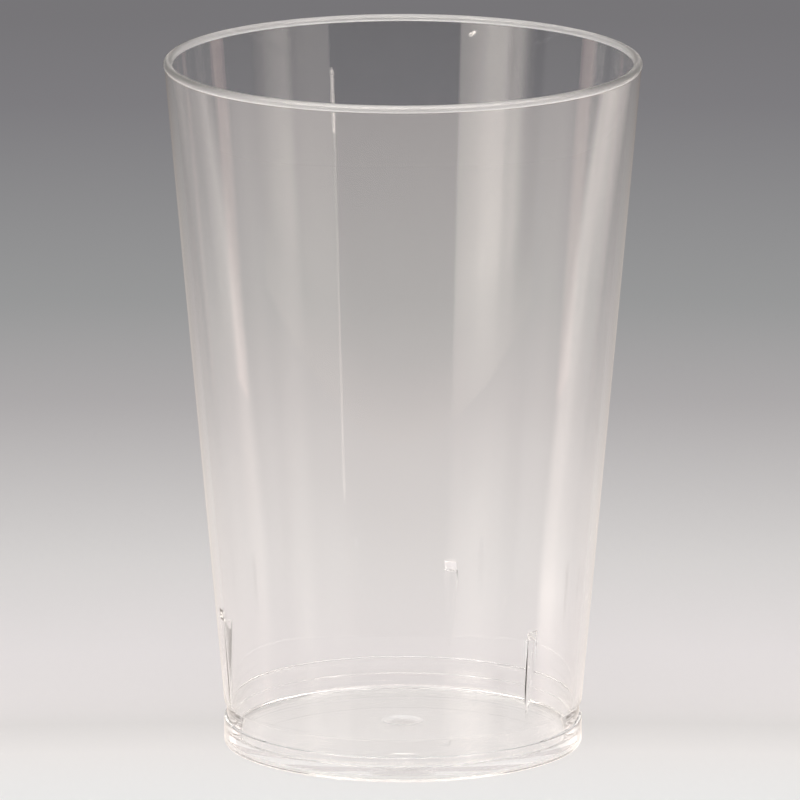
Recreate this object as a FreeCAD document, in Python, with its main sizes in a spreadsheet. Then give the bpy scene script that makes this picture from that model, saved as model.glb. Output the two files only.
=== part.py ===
import FreeCAD, Part
import os
from FreeCAD import Placement, Rotation, Vector
import Sketcher

# Clear moulded tumbler, made as one piece. It stands on its foot ring, with the
# cup's axis on Z and the origin at the middle of the ring's underside. Millimetres.

doc = FreeCAD.newDocument("Tumbler")

# Driving sizes
sizes = [
    ("rimDiameter", 78.0, "outside of the rounded lip"),
    ("cupHeight", 114.0, "table to the top of the lip"),
    ("wallThickness", 1.25, "side wall, measured level"),
    ("lipOuterStep", 0.2, "how far the lip stands out from the wall"),
    ("lipInnerStep", 0.25, "how far the lip stands in from the wall"),
    ("lipBlend", 0.4, "radius between the lip and the wall"),
    ("footDiameter", 58.8, "outside of the foot, and of the wall above the band"),
    ("footHeight", 4.15, "table to the lower edge of the sunk band"),
    ("footWidth", 2.0, "width of the ring that the cup stands on"),
    ("footRecess", 0.8, "depth of the hollow under the floor, at the ring"),
    ("footEdge", 0.35, "radius of the ring's two lower edges"),
    ("bandHeight", 2.75, "height of the sunk band above the foot"),
    ("bandDepth", 0.42, "how far the band is sunk"),
    ("bandEdge", 0.12, "radius of the two outer edges beside the band"),
    ("floorThickness", 1.3, "floor, measured upright"),
    ("floorRise", 1.2, "how much higher the floor is at its middle"),
    ("cornerRadius", 1.0, "inside corner between the floor and the wall"),
    ("gateDiameter", 6.8, "low round boss at the middle of the floor"),
    ("gateHeight", 0.5, "height of that boss above the floor"),
    ("gateEdge", 0.3, "radius of the boss's upper edge"),
    ("wellDiameter", 4.2, "round well under the boss, where the plastic came in"),
    ("wellDepth", 0.5, "depth of that well"),
    ("ribCount", 3, "stacking ribs inside the wall"),
    ("ribTop", 22.0, "table to the flat top of each rib"),
    ("ribDepth", 1.05, "how far a rib's top stands in from the wall"),
    ("ribRadius", 1.15, "radius of a rib's round nose"),
    ("ribTurn", 74.0, "angle of the first rib from +X, in degrees"),
]

sheet = doc.addObject("Spreadsheet::Sheet", "Sizes")
for row, (alias, value, meaning) in enumerate(sizes, start=1):
    sheet.set(f"A{row}", alias)
    sheet.set(f"B{row}", str(value))
    sheet.set(f"C{row}", meaning)
    sheet.setAlias(f"B{row}", alias)
doc.recompute()

# Radii and levels that follow from the driving sizes, as expressions
rimRadius = "(Sizes.rimDiameter / 2)"
footRadius = "(Sizes.footDiameter / 2)"
ringInside = f"({footRadius} - Sizes.footWidth)"
bandRadius = f"({footRadius} - Sizes.bandDepth)"
bandTop = "(Sizes.footHeight + Sizes.bandHeight)"
lipRadius = "((Sizes.wallThickness + Sizes.lipOuterStep + Sizes.lipInnerStep) / 2)"
lipCentre = f"({rimRadius} - {lipRadius})"
lipLevel = f"(Sizes.cupHeight - {lipRadius})"
wallSlope = f"(({rimRadius} - Sizes.lipOuterStep - {footRadius}) / ({lipLevel} - {bandTop}))"
floorLevel = "(Sizes.footRecess + Sizes.floorThickness)"
middleUnder = "(Sizes.footRecess + Sizes.floorRise)"
middleLevel = f"({floorLevel} + Sizes.floorRise)"

# The blank is this much larger than the cup, and the cut of its outside runs as far past it
spareStock = 2.0
blankRadius = f"(max({rimRadius}; {footRadius}) + {spareStock})"
clearRadius = f"({blankRadius} + {spareStock})"
clearLevel = f"({lipLevel} + {spareStock})"

# An edge is found by its radius and level to within this
nearby = 0.01


def outerWall(level):
    """Radius of the wall's outside at a level above the table."""
    return f"({footRadius} + {wallSlope} * ({level} - {bandTop}))"


def innerWall(level):
    """Radius of the wall's inside at a level above the table."""
    return f"({outerWall(level)} - Sizes.wallThickness)"


def number(expression):
    """The value that an expression has with the sheet's sizes."""
    return float(sheet.evalExpression(expression))


body = doc.addObject("PartDesign::Body", "Tumbler")
body.Label = "tumbler"


def originFeature(role):
    """The body's own origin plane or axis with this role."""
    return next(item for item in body.Origin.OriginFeatures if item.Role == role)


def newSketch(name, role):
    """A sketch on one of the body's origin planes."""
    sketch = body.newObject("Sketcher::SketchObject", name)
    sketch.AttachmentSupport = [(originFeature(role), "")]
    sketch.MapMode = "FlatFace"
    return sketch


def measure(sketch, name, constraint, expression):
    """Adds a constraint with a size and binds the size to an expression."""
    index = sketch.addConstraint(Sketcher.Constraint(*constraint, number(expression)))
    sketch.renameConstraint(index, name)
    sketch.setExpression(f"Constraints.{name}", expression)


def hold(sketch, edge, end, across, up):
    """Holds one end of an edge at two distances from the sketch's origin."""
    for kind, axis, expression in (("DistanceX", -2, across), ("DistanceY", -1, up)):
        if expression == "0":
            sketch.addConstraint(Sketcher.Constraint("PointOnObject", edge, end, axis))
        else:
            measure(sketch, f"edge{edge}{kind}", (kind, -1, 1, edge, end), expression)


def dome(low, top):
    """The arc from its low end to its top, which is on the sketch's upright axis."""
    rise = top.y - low.y
    radius = (low.x ** 2 + rise ** 2) / (2 * rise)
    centre = Vector(0, top.y - radius, 0)
    middle = centre + (low + top - centre * 2).normalize() * radius
    return Part.Arc(low, middle, top)


def outline(sketch, corners, domes=()):
    """Draws a closed outline through corners. Edges listed in domes are arcs about the axis."""
    points = [Vector(number(across), number(up), 0) for across, up in corners]
    following = [*range(1, len(points)), 0]
    ends = []
    for edge, (start, end) in enumerate(zip(points, [points[i] for i in following])):
        # An arc starts at its low end, also where the outline runs the other way
        climbs = edge not in domes or start.x > end.x
        ends.append((1, 2) if climbs else (2, 1))
        low, top = (start, end) if climbs else (end, start)
        sketch.addGeometry(dome(low, top) if edge in domes else Part.LineSegment(start, end))
    for edge, (across, up) in enumerate(corners):
        hold(sketch, edge, ends[edge][0], across, up)
        sketch.addConstraint(Sketcher.Constraint(
            "Coincident", edge, ends[edge][1], following[edge], ends[following[edge]][0]))
    for edge in domes:
        sketch.addConstraint(Sketcher.Constraint("PointOnObject", edge, 3, -2))


def revolve(kind, name, sketch):
    """Turns a sketch once round the cup's axis."""
    feature = body.newObject(f"PartDesign::{kind}", name)
    feature.Profile = sketch
    feature.ReferenceAxis = (sketch, ["V_Axis"])
    feature.Angle = 360
    doc.recompute()
    return feature


def cylinder(kind, name, bottom, radius, length):
    """A round bar on the cup's axis, added or taken away."""
    feature = body.newObject(f"PartDesign::{kind}", name)
    feature.AttachmentSupport = [(originFeature("XY_Plane"), "")]
    feature.MapMode = "FlatFace"
    feature.setExpression("AttachmentOffset.Base.z", bottom)
    feature.setExpression("Radius", radius)
    feature.setExpression("Height", length)
    doc.recompute()
    return feature


def rings(feature):
    """Name, radius and level of each round edge about the cup's axis."""
    for index, edge in enumerate(feature.Shape.Edges, start=1):
        if edge.Degenerated or not isinstance(edge.Curve, Part.Circle):
            continue
        centre = edge.Curve.Center
        if Vector(centre.x, centre.y, 0).Length < nearby:
            yield f"Edge{index}", edge.Curve.Radius, centre.z


def ringAt(feature, radius, level):
    """Names of the round edges with this radius and level."""
    names = [name for name, ringRadius, ringLevel in rings(feature)
             if abs(ringRadius - number(radius)) < nearby and abs(ringLevel - number(level)) < nearby]
    if not names:
        raise RuntimeError(f"{feature.Name} has no edge of radius {number(radius):.2f}")
    return names


def fillet(name, base, edges, radius):
    """Rounds edges of a feature with a radius from the sheet."""
    feature = body.newObject("PartDesign::Fillet", name)
    feature.Base = (base, edges)
    feature.setExpression("Radius", radius)
    doc.recompute()
    return feature


# The inside and the underside, in a blank that is thick enough for the ribs to run into
blankSketch = newSketch("BlankSection", "XZ_Plane")
outline(blankSketch, [
    ("0", middleUnder),
    (ringInside, "Sizes.footRecess"),
    (ringInside, "0"),
    (blankRadius, "0"),
    (blankRadius, lipLevel),
    (innerWall(lipLevel), lipLevel),
    (innerWall(floorLevel), floorLevel),
    ("0", middleLevel),
], domes=(0, 6))
blank = revolve("Revolution", "Blank", blankSketch)
corner = fillet(
    "FloorCorner", blank, ringAt(blank, innerWall(floorLevel), floorLevel), "Sizes.cornerRadius")

# Low boss at the middle of the floor
gateRadius = "Sizes.gateDiameter / 2"
gateLength = "Sizes.floorThickness + Sizes.gateHeight"
boss = cylinder("AdditiveCylinder", "GateBoss", middleUnder, gateRadius, gateLength)
bossEdge = fillet(
    "GateBossEdge", boss, ringAt(boss, gateRadius, f"{middleUnder} + {gateLength}"), "Sizes.gateEdge")

# Stacking ribs: upright posts with a round nose. The wall leans out over them, so each
# stands clear at its top and sinks into the wall lower down.
ribFace = f"({innerWall('Sizes.ribTop')} - Sizes.ribDepth)"
noseMiddle = f"({ribFace} + Sizes.ribRadius)"
ribSketch = newSketch("RibSection", "XY_Plane")
ribSketch.AttachmentOffset = Placement(Vector(0, 0, 1), Rotation(Vector(0, 0, 1), 1))
ribSketch.setExpression("AttachmentOffset.Base.z", floorLevel)
ribSketch.setExpression("AttachmentOffset.Rotation.Angle", "Sizes.ribTurn")
noseTip = Vector(number(ribFace), 0, 0)
noseCentre = Vector(number(noseMiddle), 0, 0)
back = Vector(number(outerWall("Sizes.ribTop")), 0, 0)
side = Vector(0, number("Sizes.ribRadius"), 0)
ribSketch.addGeometry([
    Part.Arc(noseCentre + side, noseTip, noseCentre - side),
    Part.LineSegment(noseCentre - side, back - side),
    Part.LineSegment(back - side, back + side),
    Part.LineSegment(back + side, noseCentre + side),
])
ribSketch.addConstraint([
    Sketcher.Constraint("Tangent", 0, 2, 1, 1),
    Sketcher.Constraint("Coincident", 1, 2, 2, 1),
    Sketcher.Constraint("Coincident", 2, 2, 3, 1),
    Sketcher.Constraint("Tangent", 3, 2, 0, 1),
    Sketcher.Constraint("Horizontal", 1),
    Sketcher.Constraint("Vertical", 2),
    Sketcher.Constraint("PointOnObject", 0, 3, -1),
])
measure(ribSketch, "noseRadius", ("Radius", 0), "Sizes.ribRadius")
measure(ribSketch, "noseMiddle", ("DistanceX", -1, 1, 0, 3), noseMiddle)
measure(ribSketch, "back", ("DistanceX", -1, 1, 2, 1), outerWall("Sizes.ribTop"))
rib = body.newObject("PartDesign::Pad", "Rib")
rib.Profile = ribSketch
rib.setExpression("Length", f"Sizes.ribTop - {floorLevel}")
doc.recompute()

ribs = body.newObject("PartDesign::PolarPattern", "Ribs")
ribs.Originals = [rib]
ribs.Axis = (originFeature("Z_Axis"), [""])
ribs.Angle = 360
ribs.setExpression("Occurrences", "Sizes.ribCount")
body.Tip = ribs
doc.recompute()

# The outside, cut from the blank: foot, sunk band and leaning wall
outsideSketch = newSketch("OutsideSection", "XZ_Plane")
outline(outsideSketch, [
    (footRadius, f"-{spareStock}"),
    (footRadius, "Sizes.footHeight"),
    (bandRadius, "Sizes.footHeight"),
    (bandRadius, bandTop),
    (footRadius, bandTop),
    (outerWall(clearLevel), clearLevel),
    (clearRadius, clearLevel),
    (clearRadius, f"-{spareStock}"),
])
outside = revolve("Groove", "Outside", outsideSketch)

# Rounded lip, a little thicker than the wall
lipSketch = newSketch("LipSection", "XZ_Plane")
lipMiddle = Vector(number(lipCentre), number(lipLevel), 0)
lipSketch.addGeometry(Part.Circle(lipMiddle, Vector(0, 0, 1), number(lipRadius)))
hold(lipSketch, 0, 3, lipCentre, lipLevel)
measure(lipSketch, "lipRadius", ("Radius", 0), lipRadius)
lip = revolve("Revolution", "Lip", lipSketch)

# Well under the floor, below the boss
well = cylinder(
    "SubtractiveCylinder", "GateWell", "0", "Sizes.wellDiameter / 2", f"{middleUnder} + Sizes.wellDepth")

# Small rounds on the foot ring, beside the band and under the lip
footEdges = fillet(
    "FootEdges", well, ringAt(well, footRadius, "0") + ringAt(well, ringInside, "0"), "Sizes.footEdge")
besideBand = ringAt(footEdges, footRadius, "Sizes.footHeight") + ringAt(footEdges, footRadius, bandTop)
bandEdges = fillet("BandEdges", footEdges, besideBand, "Sizes.bandEdge")
lipUnderside = number(lipLevel) - number(lipRadius)
underLip = [name for name, radius, level in rings(bandEdges)
            if lipUnderside < level < number(lipLevel) - nearby]
lipBlend = fillet("LipBlend", bandEdges, underLip, "Sizes.lipBlend")
body.Tip = lipBlend
doc.recompute()

# Every object has to be sound, and every cut has to take something away
for item in doc.Objects:
    if "Invalid" in item.State or "Error" in item.State:
        raise RuntimeError(f"{item.Name} failed: {item.State}")
for cut, before in ((outside, ribs), (well, lip)):
    if cut.Shape.Volume >= before.Shape.Volume:
        raise RuntimeError(f"{cut.Name} cuts nothing")
if body.Shape.isNull() or not body.Shape.isValid() or len(body.Shape.Solids) != 1:
    raise RuntimeError("The tumbler isn't one sound solid")

os.makedirs("parts", exist_ok=True)
body.Shape.exportStep(f"parts/{body.Label}.step")
print(f"{body.Label}: {len(body.Shape.Faces)} faces, {body.Shape.Volume / 1000:.2f} cubic centimetres")
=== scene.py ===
from math import cos, pi, radians, sin, sqrt

import bmesh
import bpy
from mathutils import Matrix, Vector


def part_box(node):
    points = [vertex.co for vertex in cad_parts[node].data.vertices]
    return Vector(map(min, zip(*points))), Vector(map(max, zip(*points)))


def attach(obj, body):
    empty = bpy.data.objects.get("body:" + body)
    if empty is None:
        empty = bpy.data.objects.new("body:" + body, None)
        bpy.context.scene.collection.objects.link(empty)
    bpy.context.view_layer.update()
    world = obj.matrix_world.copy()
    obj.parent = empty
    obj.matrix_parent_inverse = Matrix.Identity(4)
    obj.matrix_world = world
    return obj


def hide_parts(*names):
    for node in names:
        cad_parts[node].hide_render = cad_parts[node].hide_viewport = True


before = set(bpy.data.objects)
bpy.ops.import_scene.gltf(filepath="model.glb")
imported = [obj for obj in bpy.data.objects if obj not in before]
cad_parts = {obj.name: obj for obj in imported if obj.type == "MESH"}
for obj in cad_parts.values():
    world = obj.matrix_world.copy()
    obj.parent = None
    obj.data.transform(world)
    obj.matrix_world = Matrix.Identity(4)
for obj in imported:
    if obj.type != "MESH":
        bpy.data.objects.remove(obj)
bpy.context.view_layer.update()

mm = 0.001
mergeReach = 0.001 * mm
scene = bpy.context.scene
scene.view_settings.view_transform = "Standard"
# light runs far along inside the clear floor and foot, so more bounces are kept than usual
bounces = {"max_bounces": 48, "glossy_bounces": 32, "transmission_bounces": 40}
for name, count in bounces.items():
    setattr(scene.cycles, name, count)


# colours are written as sRGB hex and turned to linear here
def hexColour(code):
    channels = [int(code[i:i + 2], 16) / 255 for i in (1, 3, 5)]
    linear = [c / 12.92 if c <= 0.04045 else ((c + 0.055) / 1.055) ** 2.4 for c in channels]
    return (*linear, 1.0)


# adds a node, sets its settings and input values, and joins the given sockets to it
# a Mix node's inputs go by number: 0 is its share, 6 and 7 are its two colours
def addNode(tree, kind, settings=None, values=None, links=None):
    node = tree.nodes.new(kind)
    for name, value in (settings or {}).items():
        setattr(node, name, value)
    for name, value in (values or {}).items():
        node.inputs[name].default_value = value
    for name, socket in (links or {}).items():
        tree.links.new(socket, node.inputs[name])
    return node


# a new empty material and its tree, with Object coordinates and their three parts
def newMaterial(name):
    material = bpy.data.materials.new(name)
    material.use_nodes = True
    tree = material.node_tree
    tree.nodes.clear()
    place = addNode(tree, "ShaderNodeTexCoord").outputs["Object"]
    parts = addNode(tree, "ShaderNodeSeparateXYZ", links={0: place})
    return material, tree, place, parts.outputs


# the cup's section, from the size of the CAD solid and the heights read off the photo
# the bead's steps, the corner, the gate and its well are smaller than in the CAD, because at the CAD's
# sizes they rendered as bright rings that the photo doesn't show
low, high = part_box("tumbler")
cup = {
    "height": high.z,
    "lipRadius": (high.x - low.x) / 2,
    "wall": 1.25 * mm,
    "lipOuterStep": 0.12 * mm,      # how far the bead stands proud of the wall outside
    "lipInnerStep": 0.03 * mm,
    "lipBlend": 0.4 * mm,           # radius between the bead and the wall
    "footRadius": 29.4 * mm,
    "footWidth": 2.0 * mm,
    "footEdge": 0.35 * mm,
    "footTop": 4.15 * mm,
    "bandTop": 6.9 * mm,
    "bandDepth": 0.42 * mm,
    "bandEdge": 0.12 * mm,
    "recess": 0.8 * mm,             # the floor's edge above the table
    "floorRise": 1.2 * mm,
    "floorThickness": 1.3 * mm,
    "cornerRadius": 0.5 * mm,
    "gateRadius": 3.4 * mm,
    "gateHeight": 0.06 * mm,
    "gateEdge": 0.05 * mm,
    "wellRadius": 2.1 * mm,
    "wellDepth": 0.08 * mm,
    "wallRows": 26,
    "wallHold": 0.2 * mm,           # rows this close to a long face's ends keep its shading flat
    "hold": 0.1 * mm,
    "quarterSteps": 128,
    "arcSteps": {"dome": 12, "bead": 12, "corner": 8, "foot": 6, "band": 4, "blend": 4, "gate": 4},
}


def at(radius, level):
    return Vector((radius, 0.0, level))


# a section drawn as a chain of vertices: straight runs are extruded, arcs are spun
class Section:
    def __init__(self, start):
        self.mesh = bmesh.new()
        self.tip = self.mesh.verts.new(start)

    def line(self, end, cuts=1, hold=0.0):
        start = self.tip.co.copy()
        run = end - start
        stops = [i / cuts for i in range(1, cuts + 1)]
        if hold:
            edge = hold / run.length
            stops = [edge] + stops[:-1] + [1 - edge, 1.0]
        for stop in stops:
            made = bmesh.ops.extrude_vert_indiv(self.mesh, verts=[self.tip])
            self.tip = made["verts"][0]
            self.tip.co = start + run * stop

    def arc(self, centre, end, steps):
        first, last = self.tip.co - centre, end - centre
        angle = first.xz.angle_signed(last.xz)
        made = bmesh.ops.spin(self.mesh, geom=[self.tip], cent=centre, axis=(0, 1, 0),
                              angle=angle, steps=steps)
        self.tip = [v for v in made["geom_last"] if isinstance(v, bmesh.types.BMVert)][0]
        self.tip.co = end


# where a line from a point along a direction leaves a circle, on the side of the sign
def lineMeetsCircle(point, direction, centre, radius, sign):
    direction = direction.normalized()
    along = (centre - point).dot(direction)
    nearest = point + direction * along
    return nearest + direction * sign * sqrt(radius ** 2 - (centre - nearest).length_squared)


# centre and radius of a dome that rises from its edge to its middle
def domeCentre(edgeRadius, edgeLevel, rise):
    radius = (edgeRadius ** 2 + rise ** 2) / (2 * rise)
    return at(0, edgeLevel + rise - radius), radius


def onDome(centre, radius, x):
    return at(x, centre.z + sqrt(radius ** 2 - x ** 2))


# from the middle of the underside out to the foot, up the outside, over the lip and back down inside
def cupSection(c):
    steps = c["arcSteps"]
    foot, footEdge, bandEdge = c["footRadius"], c["footEdge"], c["bandEdge"]
    ring = foot - c["footWidth"]
    band = foot - c["bandDepth"]
    bead = (c["wall"] + c["lipOuterStep"] + c["lipInnerStep"]) / 2
    beadCentre = at(c["lipRadius"] - bead, c["height"] - bead)
    wallTop = at(c["lipRadius"] - c["lipOuterStep"], beadCentre.z)
    wallFoot = at(foot, c["bandTop"])
    lean = (wallTop - wallFoot).normalized()
    outward = Vector((lean.z, 0, -lean.x))
    throughWall = Vector((-c["wall"], 0, 0))

    under, underRadius = domeCentre(ring, c["recess"], c["floorRise"])
    innerFoot = wallFoot + throughWall
    floorEdge = innerFoot + lean * (c["recess"] + c["floorThickness"] - innerFoot.z) / lean.z
    inside, insideRadius = domeCentre(floorEdge.x, floorEdge.z, c["floorRise"])
    wellTop = under.z + underRadius + c["wellDepth"]

    section = Section(at(0, wellTop))
    section.line(at(c["wellRadius"], wellTop))
    section.line(onDome(under, underRadius, c["wellRadius"]), cuts=2)
    section.arc(under, at(ring, c["recess"]), steps["dome"])
    section.line(at(ring, footEdge))
    section.arc(at(ring + footEdge, footEdge), at(ring + footEdge, 0), steps["foot"])
    section.line(at(foot - footEdge, 0), hold=c["hold"])
    section.arc(at(foot - footEdge, footEdge), at(foot, footEdge), steps["foot"])
    section.line(at(foot, c["footTop"] - bandEdge), cuts=2, hold=c["hold"])
    corner = foot - bandEdge
    section.arc(at(corner, c["footTop"] - bandEdge), at(corner, c["footTop"]), steps["band"])
    section.line(at(band, c["footTop"]))
    section.line(at(band, c["bandTop"]), cuts=2)
    section.line(at(corner, c["bandTop"]))
    section.arc(at(corner, c["bandTop"] + bandEdge), at(foot, c["bandTop"] + bandEdge), steps["band"])

    neck = c["lipBlend"]
    toBead = bead + neck
    centre = lineMeetsCircle(wallTop + outward * neck, lean, beadCentre, toBead, -1)
    section.line(centre - outward * neck, cuts=c["wallRows"], hold=c["wallHold"])
    section.arc(centre, centre + (beadCentre - centre) * neck / toBead, steps["blend"])
    innerTop = wallTop + throughWall
    centre = lineMeetsCircle(innerTop - outward * neck, lean, beadCentre, toBead, -1)
    # the bead is more than half a circle, so it is drawn in two arcs
    section.arc(beadCentre, at(beadCentre.x, c["height"]), steps["bead"])
    section.arc(beadCentre, centre + (beadCentre - centre) * neck / toBead, steps["bead"])
    section.arc(centre, centre + outward * neck, steps["blend"])

    fillet = c["cornerRadius"]
    centre = lineMeetsCircle(innerTop - outward * fillet, lean, inside, insideRadius + fillet, 1)
    section.line(centre + outward * fillet, cuts=c["wallRows"], hold=c["wallHold"])
    section.arc(centre, centre + (inside - centre).normalized() * fillet, steps["corner"])
    gate, gateEdge = c["gateRadius"], c["gateEdge"]
    section.arc(inside, onDome(inside, insideRadius, gate), steps["dome"])
    gateTop = inside.z + insideRadius + c["gateHeight"]
    section.line(at(gate, gateTop - gateEdge))
    section.arc(at(gate - gateEdge, gateTop - gateEdge), at(gate - gateEdge, gateTop), steps["gate"])
    section.line(at(0, gateTop), hold=c["hold"])
    return section.mesh


# turns a bmesh into a shown object; edges sharper than the limit in degrees stay crisp
def makeObject(name, mesh, sharpAbove=30):
    bmesh.ops.recalc_face_normals(mesh, faces=mesh.faces)
    for face in mesh.faces:
        face.smooth = True
    for edge in mesh.edges:
        edge.smooth = edge.calc_face_angle(0) < radians(sharpAbove)
    data = bpy.data.meshes.new(name)
    mesh.to_mesh(data)
    mesh.free()
    made = bpy.data.objects.new(name, data)
    scene.collection.objects.link(made)
    return made


cupMesh = cupSection(cup)
# a quarter is turned and then mirrored twice, which is quicker than a full turn
bmesh.ops.spin(cupMesh, geom=cupMesh.verts[:] + cupMesh.edges[:], cent=(0, 0, 0), axis=(0, 0, 1),
               angle=pi / 2, steps=cup["quarterSteps"])
bmesh.ops.remove_doubles(cupMesh, verts=cupMesh.verts, dist=mergeReach)
for axis in "XY":
    bmesh.ops.mirror(cupMesh, geom=cupMesh.verts[:] + cupMesh.edges[:] + cupMesh.faces[:], axis=axis,
                     merge_dist=mergeReach)
bmesh.ops.remove_doubles(cupMesh, verts=cupMesh.verts, dist=mergeReach)
shell = makeObject("tumbler_shell", cupMesh)
print("shell turned,", len(shell.data.polygons), "faces")

# stacking ribs inside the wall: upright rods, half sunk in it, with a rounded top rim
rib = {
    "count": 3,
    "turn": 74.0,                   # degrees from +X to the first rib
    "radius": 1.15 * mm,
    "centre": 29.586 * mm,          # from the cup's axis
    "bottom": 9.9 * mm,             # inside the wall, where the rib has run out
    "top": 22.0 * mm,
    "edge": 0.12 * mm,
    "edgeSegments": 3,
    "segments": 48,
    "pressed": 0.02,                # the half inside the wall is pressed flat, so that it stays inside
}
ribMesh = bmesh.new()
for i in range(rib["count"]):
    made = bmesh.ops.create_circle(ribMesh, cap_ends=True, segments=rib["segments"], radius=rib["radius"])
    base = made["verts"]
    bmesh.ops.scale(ribMesh, vec=(rib["pressed"], 1, 1), verts=[v for v in base if v.co.x > 0])
    raised = bmesh.ops.extrude_face_region(ribMesh, geom=base[0].link_faces[:])
    top = [g for g in raised["geom"] if isinstance(g, bmesh.types.BMVert)]
    bmesh.ops.translate(ribMesh, vec=(0, 0, rib["top"] - rib["bottom"]), verts=top)
    rim = [g for g in raised["geom"] if isinstance(g, bmesh.types.BMEdge)]
    rounded = bmesh.ops.bevel(ribMesh, geom=rim, offset=rib["edge"], segments=rib["edgeSegments"],
                              profile=0.5, affect="EDGES", material=-1)
    whole = list({v for v in base + top + rounded["verts"] if v.is_valid})
    turn = Matrix.Rotation(radians(rib["turn"] + 360 * i / rib["count"]), 4, "Z")
    bmesh.ops.translate(ribMesh, vec=(rib["centre"], 0, rib["bottom"]), verts=whole)
    bmesh.ops.transform(ribMesh, matrix=turn, verts=whole)
ribs = makeObject("stacking_ribs", ribMesh)

union = shell.modifiers.new("ribs", "BOOLEAN")
union.operation = "UNION"
union.solver = "MANIFOLD"
union.object = ribs
evaluated = shell.evaluated_get(bpy.context.evaluated_depsgraph_get())
joined = bmesh.new()
joined.from_mesh(evaluated.to_mesh())
bpy.data.objects.remove(ribs)
bpy.data.objects.remove(shell)
bmesh.ops.remove_doubles(joined, verts=joined.verts, dist=mergeReach / 2)
tumbler = makeObject("tumbler_cup", joined)
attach(tumbler, "root")
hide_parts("tumbler")
print("tumbler joined,", len(tumbler.data.polygons), "faces")

# clear injection-moulded polystyrene: hard, water-clear and very glossy from a polished mould, with a
# faint flow waviness
# the lip is drawn matt because that gives the pale band that the photo shows; a real one may be glossy
plastic = {
    "clear": "#fefefe",
    "cloudy": "#fcfbfb",            # the other tone of a broad, hardly visible variation
    "ior": 1.59,
    "flowWave": 14.0,               # mm between swells of the wall
    "flowDepth": 0.004,             # mm
    "flowDetail": 1.0,
    "lipStart": 112.85,             # mm up, where the matt lip begins
    "lipEnd": 113.1,
    "lipRoughness": 0.5,
    "gateInside": 2.6,              # mm from the axis, the soft patch in the middle of the floor
    "gateOutside": 3.9,
    "gateRoughness": 0.25,
}


def clearPolystyrene(p):
    material, tree, place, parts = newMaterial("clear_injection_moulded_polystyrene")
    swell = addNode(tree, "ShaderNodeTexNoise",
                    values={"Scale": 1 / (p["flowWave"] * mm), "Detail": p["flowDetail"]},
                    links={"Vector": place})
    wave = addNode(tree, "ShaderNodeBump", values={"Strength": 1.0, "Distance": p["flowDepth"] * mm},
                   links={"Height": swell.outputs["Fac"]})
    body = addNode(tree, "ShaderNodeMix", {"data_type": "RGBA"},
                   {6: hexColour(p["clear"]), 7: hexColour(p["cloudy"])}, {0: swell.outputs["Fac"]})
    lip = addNode(tree, "ShaderNodeMapRange",
                  values={"From Min": p["lipStart"] * mm, "From Max": p["lipEnd"] * mm,
                          "To Max": p["lipRoughness"]},
                  links={"Value": parts["Z"]})
    level = addNode(tree, "ShaderNodeVectorMath", {"operation": "MULTIPLY"}, {1: (1, 1, 0)}, {0: place})
    fromAxis = addNode(tree, "ShaderNodeVectorMath", {"operation": "LENGTH"},
                       links={0: level.outputs["Vector"]})
    scar = addNode(tree, "ShaderNodeMapRange",
                   values={"From Min": p["gateOutside"] * mm, "From Max": p["gateInside"] * mm,
                           "To Max": p["gateRoughness"]},
                   links={"Value": fromAxis.outputs["Value"]})
    matt = addNode(tree, "ShaderNodeMath", {"operation": "MAXIMUM"},
                   links={0: lip.outputs["Result"], 1: scar.outputs["Result"]})
    surface = addNode(tree, "ShaderNodeBsdfPrincipled",
                      values={"IOR": p["ior"], "Transmission Weight": 1.0},
                      links={"Base Color": body.outputs[2], "Roughness": matt.outputs["Value"],
                             "Normal": wave.outputs["Normal"]})
    addNode(tree, "ShaderNodeOutputMaterial", links={"Surface": surface.outputs["BSDF"]})
    return material


tumbler.data.materials.append(clearPolystyrene(plastic))

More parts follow.
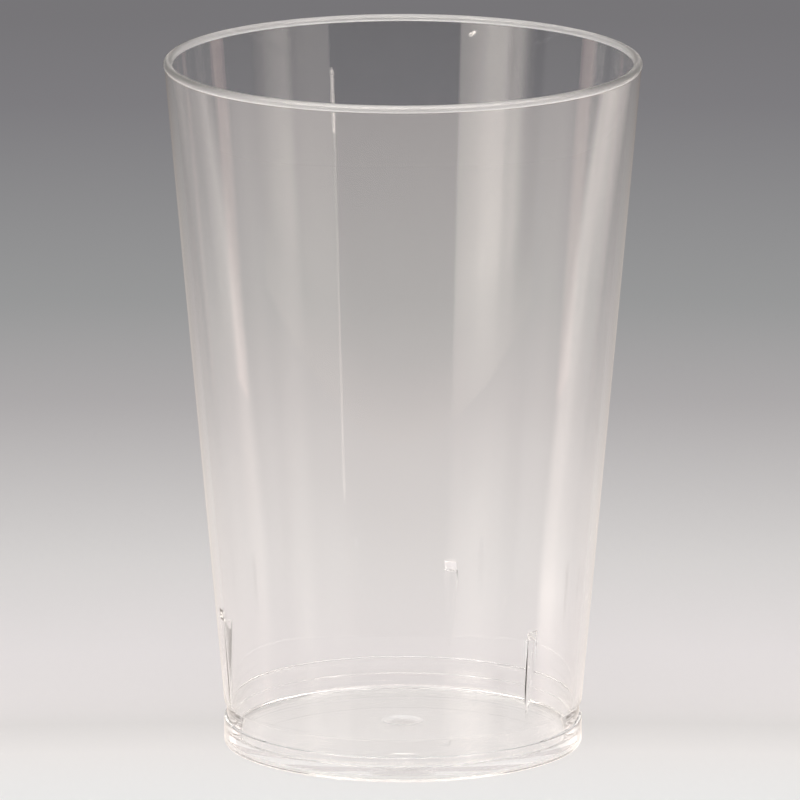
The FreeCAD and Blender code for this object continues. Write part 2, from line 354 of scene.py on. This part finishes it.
# the sheet that the cup stands on, in metres and degrees
# an azimuth is counted around the cup from the camera's side, positive to the picture's right
floor = {
    "radius": 60.0,
    "segments": 128,
    "drop": 0.02 * mm,
    "middle": (0.0, -0.75, 0.0),    # of the pool of light painted on the floor, in front of the cup
    "reach": 2.5,
    # distance from that middle and the painted brightness there, matched to how the photo's background falls
    # off
    "paintedLightPool": [(0.0, "#e8e6e4"), (0.716, "#edeceb"), (0.742, "#ede9e7"), (0.762, "#e0dcda"),
             (0.775, "#e5e0df"), (0.811, "#e3dede"), (0.877, "#d5d2d1"), (1.003, "#a8a5a6"),
             (1.09, "#8e8f90"), (1.28, "#68676c"), (1.367, "#5c5b60"), (1.8, "#48474a")],
    "glow": 0.85,                   # share of the painted pool of light that glows by itself, without the lamps
    # painted reflection: how bright the floor is made to glow in the gloss of the cup's outside, and only
    # there: by distance from the cup's axis ...
    "mirrored": [(0.0, 0.6), (0.07, 0.7), (0.11, 0.9), (0.17, 1.22), (0.23, 1.17), (0.3, 1.15),
                 (0.38, 1.05), (0.6, 0.4), (0.9, 0.1)],
    "mirroredReach": 1.0,
    # ... and by how far it lies behind the cup
    "mirroredBehind": [(-0.5, 2.5), (-0.05, 2.5), (0.0, 1.9), (0.05, 1.35), (0.1, 0.95), (0.15, 0.72),
                       (0.25, 0.55), (0.6, 0.35)],
    "behindStart": -0.5,
    "behindReach": 1.5,
    "tint": "#fff3ea",
    # two soft lines of light drawn in that gloss, leading away from the cup: brightness by azimuth and
    # by distance
    "swing": 100.0,                 # degrees that a line swings back on each metre
    "acrossStart": -100.0,
    "acrossReach": 200.0,
    "lines": {
        "left": {
            "across": [(-100, 0.0), (-92, 0.25), (-82, 0.3), (-76, 0.6), (-71, 1.0), (-64, 0.0)],
            "along": [(0.08, 0.4), (0.12, 0.9), (0.2, 1.2), (0.26, 1.9), (0.34, 1.4)],
        },
        "right": {
            "across": [(67, 0.0), (72, 1.0), (78, 1.0), (84, 0.6), (90, 0.35), (98, 0.0)],
            "along": [(0.07, 0.9), (0.09, 1.6), (0.105, 2.2), (0.12, 1.5), (0.145, 1.2), (0.19, 1.2),
                      (0.27, 1.7), (0.34, 2.4)],
        },
    },
    "paintedSheen": "#f1eeec",              # painted sheen: a fixed glow that the sheen shows straight to the camera, without the lamps
    "sheen": 0.9,
    "sheenFocus": 2.0,
    "sheenIor": 1.45,
    "sheenRoughness": 0.02,
}
floorMesh = bmesh.new()
bmesh.ops.create_circle(floorMesh, cap_ends=True, segments=floor["segments"], radius=floor["radius"])
bmesh.ops.translate(floorMesh, vec=(0, 0, -floor["drop"]), verts=floorMesh.verts)
studioFloor = makeObject("studio_floor", floorMesh)


# a colour ramp over a length, from pairs of place and colour or brightness
def addRamp(tree, value, reach, pairs, brightest=1.0, start=0.0):
    share = addNode(tree, "ShaderNodeMapRange", values={"From Min": start, "From Max": start + reach},
                    links={"Value": value})
    ramp = addNode(tree, "ShaderNodeValToRGB", links={"Fac": share.outputs["Result"]})
    stops = ramp.color_ramp.elements
    stops.remove(stops[1])
    for i, (distance, tone) in enumerate(pairs):
        position = (distance - start) / reach
        stop = stops[0] if i == 0 else stops.new(position)
        stop.position = position
        stop.color = hexColour(tone) if isinstance(tone, str) else (*[tone / brightest] * 3, 1)
    return ramp.outputs["Color"]


# two colour sockets multiplied or added
def blendColours(tree, kind, one, other):
    mix = addNode(tree, "ShaderNodeMix", {"data_type": "RGBA", "blend_type": kind}, {0: 1.0},
                  {6: one, 7: other})
    return mix.outputs[2]


# a colour socket multiplied by one fixed tint
def tinted(tree, colour, code):
    mix = addNode(tree, "ShaderNodeMix", {"data_type": "RGBA", "blend_type": "MULTIPLY"},
                  {0: 1.0, 7: hexColour(code)}, {6: colour})
    return mix.outputs[2]


# a sum on one or two sockets; a plain number stands in for a socket
def addMath(tree, operation, one, other=None):
    given = {i: term for i, term in enumerate((one, other)) if term is not None}
    values = {i: term for i, term in given.items() if isinstance(term, (int, float))}
    links = {i: term for i, term in given.items() if i not in values}
    return addNode(tree, "ShaderNodeMath", {"operation": operation}, values, links).outputs["Value"]


def addAzimuth(tree, parts):
    angle = addMath(tree, "ARCTAN2", parts["X"], addMath(tree, "MULTIPLY", parts["Y"], -1.0))
    return addMath(tree, "DEGREES", angle)


# painted reflection: the glow that the floor shows only to rays reflected off the cup's outside, brighter
# than the floor itself
def paintedFloorReflection(tree, place, parts, f, brightest):
    fromCup = addNode(tree, "ShaderNodeVectorMath", {"operation": "LENGTH"}, links={0: place})
    fromCup = fromCup.outputs["Value"]
    near = addRamp(tree, fromCup, f["mirroredReach"], f["mirrored"])
    behind = addRamp(tree, parts["Y"], f["behindReach"], f["mirroredBehind"], brightest, f["behindStart"])
    colour = blendColours(tree, "MULTIPLY", near, behind)
    side = addMath(tree, "SIGN", parts["X"])
    swung = addMath(tree, "MULTIPLY", addMath(tree, "MULTIPLY", fromCup, f["swing"]), side)
    bearing = addMath(tree, "SUBTRACT", addAzimuth(tree, parts), swung)
    for line in f["lines"].values():
        across = addRamp(tree, bearing, f["acrossReach"], line["across"], start=f["acrossStart"])
        along = addRamp(tree, fromCup, f["mirroredReach"], line["along"], brightest)
        colour = blendColours(tree, "ADD", colour, blendColours(tree, "MULTIPLY", across, along))
    return tinted(tree, colour, f["tint"])


# smooth coated paper sheet: a painted pool of light that mostly glows by itself over a matt colour, a faint
# sheen at a low angle, and a painted reflection that only the cup's gloss shows
def studioSheet(f):
    material, tree, place, parts = newMaterial("smooth_studio_sheet")
    rays = addNode(tree, "ShaderNodeLightPath").outputs
    fromPool = addNode(tree, "ShaderNodeVectorMath", {"operation": "DISTANCE"},
                       {1: f["middle"]}, {0: place})
    # painted pool of light: pale in front of the cup, darker further away, shown mostly as a glow
    paintedLightPool = addRamp(tree, fromPool.outputs["Value"], f["reach"], f["paintedLightPool"])
    matt = addNode(tree, "ShaderNodeBsdfDiffuse", links={"Color": paintedLightPool})
    glow = addNode(tree, "ShaderNodeEmission", values={"Strength": 1.0}, links={"Color": paintedLightPool})
    seen = addMath(tree, "MAXIMUM", rays["Is Camera Ray"], rays["Is Glossy Ray"])
    seen = addMath(tree, "MAXIMUM", seen, rays["Is Transmission Ray"])
    sheet = addNode(tree, "ShaderNodeMixShader", links={
        0: addMath(tree, "MULTIPLY", seen, f["glow"]), 1: matt.outputs["BSDF"], 2: glow.outputs["Emission"]})

    # the sheen reflects for all rays except those from the camera, which see the painted sheen instead
    mirror = addNode(tree, "ShaderNodeBsdfGlossy", values={"Roughness": f["sheenRoughness"]})
    paintedSheen = addNode(tree, "ShaderNodeEmission", values={"Color": hexColour(f["paintedSheen"])})
    gloss = addNode(tree, "ShaderNodeMixShader", links={
        0: rays["Is Camera Ray"], 1: mirror.outputs["BSDF"], 2: paintedSheen.outputs["Emission"]})
    grazing = addNode(tree, "ShaderNodeFresnel", values={"IOR": f["sheenIor"]})
    focused = addMath(tree, "POWER", grazing.outputs["Fac"], f["sheenFocus"])
    sheened = addNode(tree, "ShaderNodeMixShader", links={
        0: addMath(tree, "MULTIPLY", focused, f["sheen"]), 1: sheet.outputs["Shader"],
        2: gloss.outputs["Shader"]})

    brightest = max(tone for _, tone in f["mirroredBehind"])
    # painted reflection: rays that come off a gloss see this glow instead of the floor
    paintedReflection = addNode(tree, "ShaderNodeEmission", values={"Strength": brightest},
                     links={"Color": paintedFloorReflection(tree, place, parts, f, brightest)})
    inGloss = addMath(tree, "SUBTRACT", rays["Is Reflection Ray"], rays["Is Diffuse Ray"])
    shown = addNode(tree, "ShaderNodeMixShader", links={
        0: inGloss, 1: sheened.outputs["Shader"], 2: paintedReflection.outputs["Emission"]})
    addNode(tree, "ShaderNodeOutputMaterial", links={"Surface": shown.outputs["Shader"]})
    return material


studioFloor.data.materials.append(studioSheet(floor))

# lit cards that stand around the front of the cup and show only in and through its plastic
cards = {
    "radius": 0.88,
    "height": 1.1,
    "from": -78.0,                  # azimuths of the two ends
    "to": 84.0,
    "columns": 90,
    "tint": "#fff6ec",
    # azimuth and brightness: two softboxes that show in the inside of the wall
    "light": [(-74.0, 0.05), (-71.0, 0.1), (-68.5, 0.35), (-66.0, 1.0), (-63.5, 1.75), (-61.0, 1.9),
              (-58.5, 1.6), (-56.0, 2.3), (-54.0, 2.9), (-49.5, 3.0), (-45.0, 2.85), (-40.5, 2.2),
              (-29.8, 1.3), (-29.3, 0.0), (38.0, 0.0), (38.3, 0.8), (56.0, 0.85), (57.5, 0.6),
              (60.0, 0.7), (62.0, 1.2), (65.0, 1.26), (72.0, 1.0), (79.0, 0.6), (82.0, 0.37),
              (87.0, 0.0)],
    "lightStart": -90.0,
    "lightReach": 180.0,
    # by height above the floor: how far those softboxes rise, a pale skirt, and a crown that is far
    # brighter than the rest and is there for the lip
    "rise": [(0.0, 0.2), (0.03, 1.0)],
    "skirt": [(0.0, 0.6), (0.006, 0.5), (0.018, 0.08), (0.03, 0.0)],
    "crown": [(0.7, 0.0), (0.75, 24.0)],
}
cardMesh = bmesh.new()
corner = cardMesh.verts.new((0, -cards["radius"], 0))
bmesh.ops.rotate(cardMesh, verts=[corner], cent=(0, 0, 0),
                 matrix=Matrix.Rotation(radians(cards["from"]), 3, "Z"))
made = bmesh.ops.extrude_vert_indiv(cardMesh, verts=[corner])
made["verts"][0].co.z = cards["height"]
bmesh.ops.spin(cardMesh, geom=cardMesh.verts[:] + cardMesh.edges[:], cent=(0, 0, 0), axis=(0, 0, 1),
               angle=radians(cards["to"] - cards["from"]), steps=cards["columns"])
lightCards = makeObject("light_cards", cardMesh)
lightCards.visible_camera = lightCards.visible_diffuse = False


# white diffusing cloth of a softbox, lit from inside and slightly warm
def softboxCloth(c):
    material, tree, _, parts = newMaterial("softbox_cloth")
    brightest = max(tone for _, tone in c["light"] + c["crown"])
    azimuth = addAzimuth(tree, parts)
    light = addRamp(tree, azimuth, c["lightReach"], c["light"], brightest, c["lightStart"])
    light = blendColours(tree, "MULTIPLY", light, addRamp(tree, parts["Z"], c["height"], c["rise"]))
    for part in ("skirt", "crown"):
        tone = addRamp(tree, parts["Z"], c["height"], c[part], brightest)
        light = blendColours(tree, "ADD", light, tone)
    lit = addNode(tree, "ShaderNodeEmission", values={"Strength": brightest},
                  links={"Color": tinted(tree, light, c["tint"])})
    addNode(tree, "ShaderNodeOutputMaterial", links={"Surface": lit.outputs["Emission"]})
    return material


lightCards.data.materials.append(softboxCloth(cards))

studio = {
    # sine of the height above the horizon and the brightness of the room there
    "room": [(0, "#dddad8"), (0.1, "#e7e5e2"), (0.2, "#f1eeec"), (0.34, "#edebe9"), (0.5, "#bcb9b8"),
             (0.8, "#adabaa")],
    "distance": "#cdcbc9",          # what the camera sees of it past the floor
    # lamps by azimuth, then metres, and brightness; the wings are a warm pink
    "panels": {
        "edge": dict(azimuth=37.6, distance=0.53, width=0.016, bottom=0.0765, height=0.0137, glow=4.2),
        "edge_low": dict(azimuth=37.6, distance=0.53, width=0.009, bottom=0.0, height=0.0765, glow=2.0),
        "spark": dict(azimuth=-36.4, distance=0.53, width=0.03, bottom=0.0972, height=0.0007, glow=7.0),
        "left_wing": dict(azimuth=-112.0, distance=0.45, width=0.09, bottom=0.0, height=0.14, glow=0.9,
                          colour="#f2cfc4"),
        "right_wing": dict(azimuth=112.0, distance=0.45, width=0.08, bottom=0.0, height=0.14, glow=1.0,
                           colour="#f2cfc4"),
    },
    "top": dict(place=(0, -0.15, 1.1), size=0.9, glow=1.8),
}


def studioAir(s):
    world = bpy.data.worlds.new("studio_air")
    world.use_nodes = True
    tree = world.node_tree
    tree.nodes.clear()
    direction = addNode(tree, "ShaderNodeTexCoord")
    parts = addNode(tree, "ShaderNodeSeparateXYZ", links={0: direction.outputs["Generated"]})
    room = addRamp(tree, parts.outputs["Z"], 1.0, s["room"])
    rays = addNode(tree, "ShaderNodeLightPath").outputs
    tone = addNode(tree, "ShaderNodeMix", {"data_type": "RGBA"}, {7: hexColour(s["distance"])},
                   {0: rays["Is Camera Ray"], 6: room})
    air = addNode(tree, "ShaderNodeBackground", links={"Color": tone.outputs[2]})
    addNode(tree, "ShaderNodeOutputWorld", links={"Surface": air.outputs["Background"]})
    return world


# a soft lamp whose cloth is as bright as its glow says, whatever its size
def addPanel(name, width, height, glow, location, turn):
    data = bpy.data.lights.new(name, "AREA")
    data.shape = "RECTANGLE"
    data.size, data.size_y = width, height
    data.energy = glow * pi * width * height
    lamp = bpy.data.objects.new(name, data)
    lamp.location = location
    lamp.rotation_euler = turn
    lamp.visible_camera = False
    scene.collection.objects.link(lamp)
    return lamp


scene.world = studioAir(studio)
for name, p in studio["panels"].items():
    turn = radians(p["azimuth"])
    spot = (p["distance"] * sin(turn), -p["distance"] * cos(turn), p["bottom"] + p["height"] / 2)
    lamp = addPanel("panel_" + name, p["width"], p["height"], p["glow"], spot, (pi / 2, 0, turn))
    lamp.data.color = hexColour(p.get("colour", cards["tint"]))[:3]
top = studio["top"]
addPanel("panel_top", top["size"], top["size"], top["glow"], top["place"], (0, 0, 0))

# a long lens that looks down a little, as in the photo
view = {
    "aside": -0.49 * mm,            # of the point that the camera aims at, from the cup's middle
    "above": 0.12 * mm,
    "distance": 2.161,
    "tilt": 12.7,
    "lens": 594.0,
    "sensor": 36.0,
}
camera = bpy.data.objects.new("camera", bpy.data.cameras.new("camera"))
camera.data.lens = view["lens"]
camera.data.sensor_width = view["sensor"]
tilt = radians(view["tilt"])
aim = Vector((view["aside"], 0, (low.z + high.z) / 2 + view["above"]))
camera.location = aim + view["distance"] * Vector((0, -cos(tilt), sin(tilt)))
camera.rotation_euler = (pi / 2 - tilt, 0, 0)
scene.collection.objects.link(camera)
scene.camera = camera
print("studio ready")
